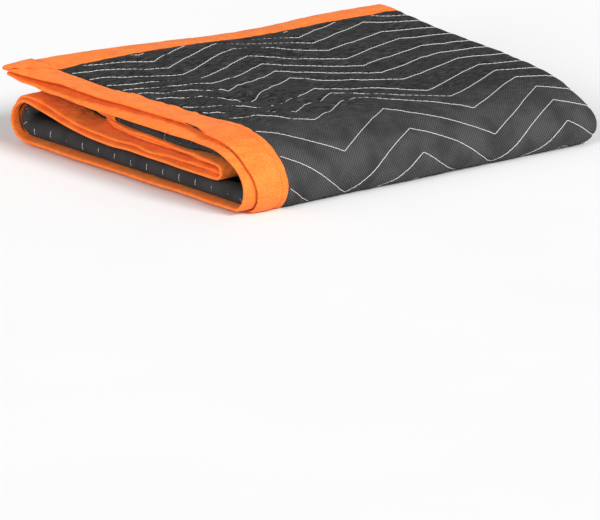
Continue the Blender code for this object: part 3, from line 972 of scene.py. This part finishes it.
# The top end's tape runs on over the side binding at the back corner and is folded off at a slant. Its
# lengths are those at the outer edge and at its inner end.
LAP_LIFT = 1.6 * MM
LAP_WALL = 0.5 * MM
LAP_INWARD = (-0.6 * MM, 43.4 * MM)
LAP_LENGTHS = (12.0 * MM, 45.0 * MM)
LAP_COLUMNS = 16
LAP_ROWS = 12
LAP_BEND = 1.7 * MM
LAP_BEND_REACH = 3.0 * MM
LAP_RIPPLE = 1.3 * MM
LAP_RIPPLE_SIZES = (6.0 * MM, 14.0 * MM)
LAP_RIPPLE_START = (0.1, 0.8)


def between(ends, share):
    return ends[0] + (ends[1] - ends[0]) * share


def corner_lap(tape):
    """The slanted lap of the end tape over the side tape, a closed sheet."""
    place = side_place(OUTER)
    share, down = np.meshgrid(np.linspace(0, 1, LAP_COLUMNS), np.linspace(0, 1, LAP_ROWS), indexing="ij")
    inward = between(LAP_INWARD, share)
    length = down * between(LAP_LENGTHS, share)
    bend = LAP_BEND * (1 - ease(inward, 0.0, LAP_BEND_REACH))
    ripple = LAP_RIPPLE * tape.fine.at(length / LAP_RIPPLE_SIZES[0], inward / LAP_RIPPLE_SIZES[1])
    top = CLOTH_THICKNESS / 2 + LAP_LIFT - bend + ripple * ease(down, *LAP_RIPPLE_START)
    points = np.concatenate([place(inward, off, length).reshape(-1, 3) for off in (top, top - LAP_WALL)])
    places = np.arange(share.size).reshape(share.shape)
    below = places + share.size
    faces = grid_faces(places) + grid_faces(below, turned=True)
    for rim in ((below[0], places[0]), (places[-1], below[-1]),
                (places[:, 0], below[:, 0]), (below[:, -1], places[:, -1])):
        faces += grid_faces(np.stack(rim))
    flat = np.stack([inward, length], axis=-1).reshape(-1, 2)
    return points, faces, np.concatenate([flat, flat])


# A stitch of thread: how far along it each of its points lies, and how high. It arches by STITCH_ARCH radii.
StitchPoint = namedtuple("StitchPoint", "share rise")
STITCH = [StitchPoint(0.0, -0.5), StitchPoint(0.14, 0.35), StitchPoint(0.5, 0.55), StitchPoint(0.86, 0.35)]
STITCH_SIDES = 5
STITCH_ARCH = 1.6

# A thread steeper than this counts as upright, and a step shorter than this as nothing
UPRIGHT = 0.9
SHORTEST = 1e-6

# The quilting thread, which sinks into the cloth here and there, most of all in the rumpled patch
THREAD_RADIUS = 0.4 * MM
THREAD_SEAT = 0.25 * MM
THREAD_STITCH = 6.2 * MM
THREAD_SINK = 0.95 * MM
EVEN_SINK = 0.2
SINK_LENGTH = 16.0 * MM
SINK_STEP = 3.7
HIDDEN_DROP = 0.7 * MM
WRAP_REACH = 30.0 * MM
ROW_MARGIN = 3.0 * MM
seat_noise = SoftNoise(83)

# The short bits of thread on the rolls: where their middle lies, how far they reach and how high they sit.
# Each has a mean, how far it strays, and the step and the lane of the noise that it follows.
Uneven = namedtuple("Uneven", "mean stray step lane")
TICK_SHIFT = Uneven(0.0, 2.0 * MM, 1.7, 0.5)
TICK_REACH = Uneven(3.75 * MM, 1.75 * MM, 1.3, 7.5)
TICK_SEAT = Uneven(-0.2 * MM, 0.2 * MM, 2.3, 3.5)
TICK_SHARE = 0.6
tick_noise = SoftNoise(71)

# The topstitching of the tapes
TOPSTITCH_RADIUS = 0.34 * MM
TOPSTITCH = 4.6 * MM
TAPE_TOP = 1.85 * MM
TAPE_MARGIN = 2.0 * MM
STITCH_PUCKER = 0.6


def uneven(trait, row):
    return trait.mean + trait.stray * tick_noise.at(row * trait.step, trait.lane)


def stitch_places(start, end, length):
    """Distances along a row and how high the thread lies there, a whole number of stitches."""
    count = max(1, round((end - start) / length))
    shares = [number + point.share for number in range(count) for point in STITCH] + [count]
    rises = [point.rise for _ in range(count) for point in STITCH] + [STITCH[0].rise]
    return start + (end - start) * np.array(shares) / count, np.array(rises)


def tube(points, radius):
    """A thin tube round a line of points."""
    along = np.gradient(points, axis=0)
    along /= np.maximum(np.linalg.norm(along, axis=1, keepdims=True), SHORTEST)
    side = np.cross(along, np.where(np.abs(along[:, 2:]) < UPRIGHT, (0.0, 0.0, 1.0), (1.0, 0.0, 0.0)))
    side /= np.linalg.norm(side, axis=1, keepdims=True)
    up = np.cross(side, along)
    angle = (2 * math.pi * np.arange(STITCH_SIDES) / STITCH_SIDES)[:, None]
    return loft(points[:, None] + radius * (side[:, None] * np.cos(angle) + up[:, None] * np.sin(angle)))


class ThreadPieces:
    """Collects tubes of thread into one mesh."""

    def __init__(self, radius, stitch_length):
        self.radius = radius
        self.stitch_length = stitch_length
        self.points, self.faces, self.count = [], [], 0

    def add(self, start, end, place, share=1.0):
        """A row of stitches from start to end. place gives its points by distance and rise. The thread has a
        share of its full radius."""
        distance, rise = stitch_places(start, end, self.stitch_length)
        radius = self.radius * share
        points, faces = tube(place(distance, rise * radius * STITCH_ARCH), radius)
        self.faces += [[corner + self.count for corner in face] for face in faces]
        self.points.append(points)
        self.count += len(points)

    def finish(self, name, material):
        points = np.concatenate(self.points)
        return add_piece(name, points, self.faces, material, points[:, :2])


def row_place(row, seat):
    """Points along a quilting row, by the way across the cloth and the rise above its seat in the groove."""
    def place(u, rise):
        across, way, length = follow_rows(np.full(u.shape, float(row)), lambda across: u + 0 * across.turn_x)
        free = free_share(length, across.inward(way))
        relief = outer_bumps(across, way, length) - GROOVE_DEPTH * across.calm(way)
        groove = np.maximum(half_thickness(free) + free * relief, THINNEST)
        depth = THREAD_SINK * (EVEN_SINK + (1 - EVEN_SINK) * rumple_share(way, length))
        sunk = depth * np.maximum(seat_noise.at(way / SINK_LENGTH, row * SINK_STEP), 0)
        off = groove + (rise + seat - sunk) * free - HIDDEN_DROP * (1 - free)
        return place_off(across, way, off, length)
    return place


def add_quilting_thread(material):
    """Rows on the outer face where it shows, and their ends round every roll and far turn."""
    thread = ThreadPieces(THREAD_RADIUS, THREAD_STITCH)
    for row in range(FIRST_ROW + 1, LAST_ROW):
        lengths = quilting.rows[row - FIRST_ROW]
        if lengths.max() < SEAM or lengths.min() > stack.total - SEAM:
            continue
        plain = float(on_cloth(quilting.plain_length(row)))
        across = Across(np.array([plain]))
        from_edge = across.outer_edge[0] + SEAM + ROW_MARGIN
        start = from_edge if plain < stack.back_end else across.turn_x[0] - WRAP_REACH
        thread.add(start, across.turn_end[0] + WRAP_REACH, row_place(row, THREAD_SEAT))
        middle = across.roll_middle[0] + uneven(TICK_SHIFT, row)
        reach = uneven(TICK_REACH, row)
        thread.add(middle - reach, middle + reach, row_place(row, uneven(TICK_SEAT, row)), TICK_SHARE)
    return thread.finish("quilting_thread", material)


def side_seam(side, tape):
    """Points along the topstitching of a side binding."""
    place = side_place(side)

    def line(along, rise):
        return place(STITCH_INWARD, seam_height(tape, along, rise), along)
    return line


def end_seam(length, tape):
    """Points along the topstitching of an end binding."""
    def line(u, rise):
        lengths = np.full(u.shape, length)
        return place_off(Across(lengths), u, seam_height(tape, u, rise), lengths)
    return line


def seam_height(tape, along, rise):
    return TAPE_TOP + tape.pucker(along, STITCH_INWARD) * STITCH_PUCKER + rise


def add_topstitching(tapes, material):
    """The lines of thread that hold the bindings, near their inner edges."""
    thread = ThreadPieces(TOPSTITCH_RADIUS, TOPSTITCH)
    for side in (OUTER, INNER):
        thread.add(TAPE_MARGIN, stack.total - TAPE_MARGIN, side_seam(side, tapes[side.name]))
    for name, length in (("top_end", STITCH_INWARD), ("inside_end", stack.total - STITCH_INWARD)):
        across = Across(np.array([length]))
        thread.add(across.outer_edge[0] + SEAM, across.inner_edge[0] - SEAM, end_seam(length, tapes[name]))
    return thread.finish("binding_topstitching", material)


# The patterns of the materials: how many repeats each has to a metre of cloth, and the levels of it that
# count as none and as full
Pattern = namedtuple("Pattern", "repeats low high")
NAP = Pattern(330, 0.34, 0.72)
LINT = Pattern(480, 0.62, 0.78)
MESH = Pattern(178, 0.15, 0.85)
DARK_PATCHES = Pattern(30, 0.40, 0.68)
TAPE_PATCHES = Pattern(55, 0.3, 0.7)
TAPE_THREADS = Pattern(700, 0.45, 0.85)
TAPE_RIBS = 200
TAPE_FOLDS = 120
STRANDS = Pattern(500, 0.3, 0.7)
FLOOR_GRAIN = 3

# The nap is drawn out across the cloth and has dark patches. The mesh takes over on the front fold, between
# these lengths, and past the outer layer it is level. Between the same lengths the colour turns from painted
# shade on the top to painted light on the front fold.
NAP_STRETCH = (0.22, 1.0, 1.0)
PATCH_STRENGTH = 0.5
MIRRORED = (1.0, -1.0, 1.0)
LIT_FOLD_START = (0.34, 0.43)
OUTER_LAYER_END = (0.75, 0.65)
PLAIN_LEVEL = 0.3

# The fine folds of the tape run across it
FOLD_STRETCH = (1.0, 0.4, 1.0)
FOLD_STRENGTH = 17.0

# Colours
# The nap's colours are painted darker, as painted shade on the top, and the mesh's lighter, as painted light
# on the front fold. Their streaks and mesh are the cloth's own.
SHADED_NAP_DARK = (0.009, 0.009, 0.0095)
SHADED_NAP_LIGHT = (0.052, 0.052, 0.052)
LINT_COLOUR = (0.17, 0.165, 0.16)
LIT_MESH_DARK = (0.028, 0.028, 0.0285)
LIT_MESH_LIGHT = (0.092, 0.092, 0.092)
PATCH_COLOUR = (0.014, 0.014, 0.014)
ORANGE = (0.90, 0.135, 0.010)
LIGHT_ORANGE = (0.97, 0.215, 0.026)
PALE_ORANGE = (0.95, 0.34, 0.07)
FLOOR_DARK = (0.86, 0.86, 0.86)
FLOOR_LIGHT = (0.9, 0.9, 0.9)


class Look:
    """A material on the cloth's flat coordinates, and short ways to add its nodes."""

    def __init__(self, name, roughness):
        self.material = bpy.data.materials.new(name)
        self.material.use_nodes = True
        self.nodes, self.links = self.material.node_tree.nodes, self.material.node_tree.links
        self.shader = self.nodes["Principled BSDF"]
        self.fill(self.shader.inputs["Roughness"], roughness)

    def fill(self, socket, value):
        """Gives a socket a number, a scale, a colour or another node's output."""
        if isinstance(value, bpy.types.NodeSocket):
            self.links.new(value, socket)
        else:
            socket.default_value = (*value, 1.0) if socket.type == "RGBA" else value

    def node(self, kind, inputs, **settings):
        node = self.nodes.new(kind)
        for setting, value in settings.items():
            setattr(node, setting, value)
        for name, value in inputs.items():
            self.fill(node.inputs[name], value)
        return node

    def flat(self):
        return self.node("ShaderNodeAttribute", {}, attribute_name="flat").outputs["Vector"]

    def noise(self, repeats, vector, **settings):
        inputs = {"Scale": repeats, "Vector": vector}
        return self.node("ShaderNodeTexNoise", inputs, **settings).outputs["Fac"]

    def wave(self, repeats, vector, direction):
        inputs = {"Scale": repeats, "Vector": vector}
        return self.node("ShaderNodeTexWave", inputs, bands_direction=direction).outputs["Fac"]

    def stretched(self, vector, scale):
        return self.node("ShaderNodeMapping", {"Scale": scale, "Vector": vector}).outputs["Vector"]

    def maths(self, operation, first, second):
        return self.node("ShaderNodeMath", {0: first, 1: second}, operation=operation).outputs["Value"]

    def contrast(self, value, low, high):
        """From 0 where the value is low to 1 where it is high."""
        inputs = {"From Min": low, "From Max": high, "Value": value}
        return self.node("ShaderNodeMapRange", inputs).outputs["Result"]

    def level(self, value, pattern):
        return self.contrast(value, pattern.low, pattern.high)

    def mix(self, share, first, second):
        """A colour that goes from the first to the second."""
        node = self.node("ShaderNodeMix", {"Factor": share}, data_type="RGBA")
        for socket in node.inputs:
            if socket.type == "RGBA":
                self.fill(socket, first if socket.name == "A" else second)
        return next(socket for socket in node.outputs if socket.type == "RGBA")

    def bump(self, height, strength, distance):
        node = self.node("ShaderNodeBump", {"Strength": strength, "Distance": distance, "Height": height})
        self.fill(self.shader.inputs["Normal"], node.outputs["Normal"])

    def finish(self, colour, sockets=()):
        """The material with its colour, and with constants on the shader's own sockets."""
        for name, value in [("Base Color", colour), *sockets]:
            self.fill(self.shader.inputs[name], value)
        return self.material


# Constants of the shader: a matt cloth, and a tape with a faint warm sheen
CLOTH_FINISH = [("Sheen Weight", 0.03), ("Sheen Roughness", 0.4), ("Specular IOR Level", 0.08)]
TAPE_FINISH = [("Sheen Weight", 0.14), ("Sheen Roughness", 0.35), ("Sheen Tint", (1.0, 0.7, 0.4)),
               ("Specular IOR Level", 0.3)]


def charcoal_cloth():
    """Woven charcoal polyester: a fine slanting mesh on the folds, and a streaky nap with lint on the top.
    The top's nap is painted darker as painted shade, and the fold's mesh lighter as painted light.
    """
    look = Look("charcoal_quilted_cloth", roughness=0.85)
    flat = look.flat()
    across, along, _ = look.node("ShaderNodeSeparateXYZ", {"Vector": flat}).outputs
    # Where the front fold starts: its mesh and its painted light
    on_lit_fold = look.contrast(along, *LIT_FOLD_START)
    on_outer_layer = look.contrast(across, *OUTER_LAYER_END)

    streaks = look.noise(NAP.repeats, look.stretched(flat, NAP_STRETCH), noise_dimensions="2D")
    lint = look.noise(LINT.repeats, flat)
    # The nap's streaks, painted dark as painted shade on the top
    shaded_nap_colour = look.mix(look.level(streaks, NAP), SHADED_NAP_DARK, SHADED_NAP_LIGHT)
    shaded_nap_colour = look.mix(look.level(lint, LINT), shaded_nap_colour, LINT_COLOUR)

    one_way = look.wave(MESH.repeats, flat, "DIAGONAL")
    other_way = look.wave(MESH.repeats, look.stretched(flat, MIRRORED), "DIAGONAL")
    crossed = look.maths("MULTIPLY", look.maths("ADD", one_way, other_way), 0.5)
    above_plain = look.maths("MULTIPLY", look.maths("SUBTRACT", crossed, PLAIN_LEVEL), on_outer_layer)
    mesh = look.maths("ADD", above_plain, PLAIN_LEVEL)
    # The mesh, painted light as painted light on the front fold
    lit_mesh_colour = look.mix(look.level(mesh, MESH), LIT_MESH_DARK, LIT_MESH_LIGHT)

    # From the top's painted shade to the front fold's painted light
    colour = look.mix(on_lit_fold, shaded_nap_colour, lit_mesh_colour)
    patches = look.level(look.noise(DARK_PATCHES.repeats, flat), DARK_PATCHES)
    colour = look.mix(look.maths("MULTIPLY", patches, PATCH_STRENGTH), colour, PATCH_COLOUR)
    weave = look.maths("ADD", look.maths("MULTIPLY", mesh, on_lit_fold), streaks)
    look.bump(weave, strength=0.6, distance=0.7 * MM)
    return look.finish(colour, CLOTH_FINISH)


def orange_tape():
    """Woven orange tape with fine ribs, a little uneven in colour."""
    look = Look("orange_binding_tape", roughness=0.75)
    flat = look.flat()
    patches = look.noise(TAPE_PATCHES.repeats, flat)
    threads = look.noise(TAPE_THREADS.repeats, flat)
    folds = look.noise(TAPE_FOLDS, look.stretched(flat, FOLD_STRETCH), noise_dimensions="2D")
    colour = look.mix(look.level(patches, TAPE_PATCHES), ORANGE, LIGHT_ORANGE)
    colour = look.mix(look.level(threads, TAPE_THREADS), colour, PALE_ORANGE)
    weave = look.maths("ADD", look.wave(TAPE_RIBS, flat, "X"), threads)
    weave = look.maths("ADD", weave, look.maths("MULTIPLY", folds, FOLD_STRENGTH))
    look.bump(weave, strength=0.5, distance=0.4 * MM)
    return look.finish(colour, TAPE_FINISH)


def thread_material(name, dark, light):
    look = Look(name, roughness=0.6)
    strands = look.noise(STRANDS.repeats, look.flat())
    look.bump(strands, strength=0.3, distance=0.2 * MM)
    return look.finish(look.mix(look.level(strands, STRANDS), dark, light))


def floor_material():
    look = Look("pale_floor", roughness=0.9)
    coordinates = look.node("ShaderNodeTexCoord", {}).outputs["Object"]
    return look.finish(look.mix(look.noise(FLOOR_GRAIN, coordinates), FLOOR_DARK, FLOOR_LIGHT))


# The pad's pieces
tapes = {"outer": Tape(21), "inner": Tape(31), "top_end": Tape(41), "inside_end": Tape(51)}
cloth = charcoal_cloth()
orange = orange_tape()
white_thread = thread_material("off_white_thread", dark=(0.62, 0.61, 0.58), light=(0.80, 0.79, 0.76))
orange_thread = thread_material("orange_thread", dark=(0.75, 0.13, 0.015), light=(0.95, 0.22, 0.04))
panel = add_panel(cloth)
outer_binding = add_side_binding("outer_side_tape", "side_binding_outer", tapes["outer"], orange, OUTER)
inner_binding = add_side_binding("inner_side_tape", "side_binding_inner", tapes["inner"], orange, INNER)
top_binding = add_end_binding("top_end_tape", "end_binding_top", tapes["top_end"], orange,
                              end_length=0.0, inward_sign=1, extra=corner_lap(tapes["top_end"]))
inside_binding = add_end_binding("inside_end_tape", "end_binding_inside", tapes["inside_end"], orange,
                                 end_length=stack.total, inward_sign=-1)
quilting_thread = add_quilting_thread(white_thread)
topstitching = add_topstitching(tapes, orange_thread)

# Floor
FLOOR_SIZE = 12.0
FLOOR_DROP = 0.2 * MM


def add_floor():
    shape = bmesh.new()
    bmesh.ops.create_grid(shape, x_segments=1, y_segments=1, size=FLOOR_SIZE / 2)
    mesh = bpy.data.meshes.new("floor")
    shape.to_mesh(mesh)
    shape.free()
    mesh.materials.append(floor_material())
    floor = bpy.data.objects.new("floor", mesh)
    floor.location.z = -FLOOR_DROP
    bpy.context.scene.collection.objects.link(floor)


add_floor()

# Camera and image
IMAGE_WIDTH = 600
PIXELS_PER_METRE = 841.0
CAMERA_AZIMUTH = math.radians(-39)
CAMERA_ELEVATION = math.radians(15.5)
CAMERA_DISTANCE = 25.0
SENSOR_WIDTH = 36.0
TARGET_RIGHT = -0.0154
TARGET_UP = -0.1412


def add_camera():
    back = Vector((math.sin(CAMERA_AZIMUTH) * math.cos(CAMERA_ELEVATION),
                   -math.cos(CAMERA_AZIMUTH) * math.cos(CAMERA_ELEVATION), math.sin(CAMERA_ELEVATION)))
    turn = (-back).to_track_quat("-Z", "Y")
    target = turn @ Vector((TARGET_RIGHT, TARGET_UP, 0))
    camera = bpy.data.objects.new("camera", bpy.data.cameras.new("camera"))
    bpy.context.scene.collection.objects.link(camera)
    camera.location = target + back * CAMERA_DISTANCE
    camera.rotation_euler = turn.to_euler()
    camera.data.sensor_width = SENSOR_WIDTH
    camera.data.clip_end = 2 * CAMERA_DISTANCE
    camera.data.lens = PIXELS_PER_METRE * CAMERA_DISTANCE / IMAGE_WIDTH * SENSOR_WIDTH
    bpy.context.scene.camera = camera


add_camera()

# Light: where each one shines from, its softness in degrees and its strength
Light = namedtuple("Light", "name place softness strength")
LIGHTS = [
    Light("key", (0.5, -2.4, 1.7), 22, 2.8),
    Light("fill", (-2.4, -0.9, 1.1), 35, 2.0),
]
WORLD_STRENGTH = 0.36

world = bpy.data.worlds.new("studio")
world.use_nodes = True
background = world.node_tree.nodes["Background"]
background.inputs["Color"].default_value = (1, 1, 1, 1)
background.inputs["Strength"].default_value = WORLD_STRENGTH
bpy.context.scene.world = world
bpy.context.scene.view_settings.view_transform = "Standard"


def add_light(row):
    """A wide, soft light that shines from its place towards the pad, evenly over the floor."""
    light = bpy.data.lights.new(row.name, "SUN")
    light.angle = math.radians(row.softness)
    light.energy = row.strength
    lamp = bpy.data.objects.new(row.name, light)
    bpy.context.scene.collection.objects.link(lamp)
    lamp.location = row.place
    lamp.rotation_euler = (-Vector(row.place)).to_track_quat("-Z", "Y").to_euler()


for row in LIGHTS:
    add_light(row)
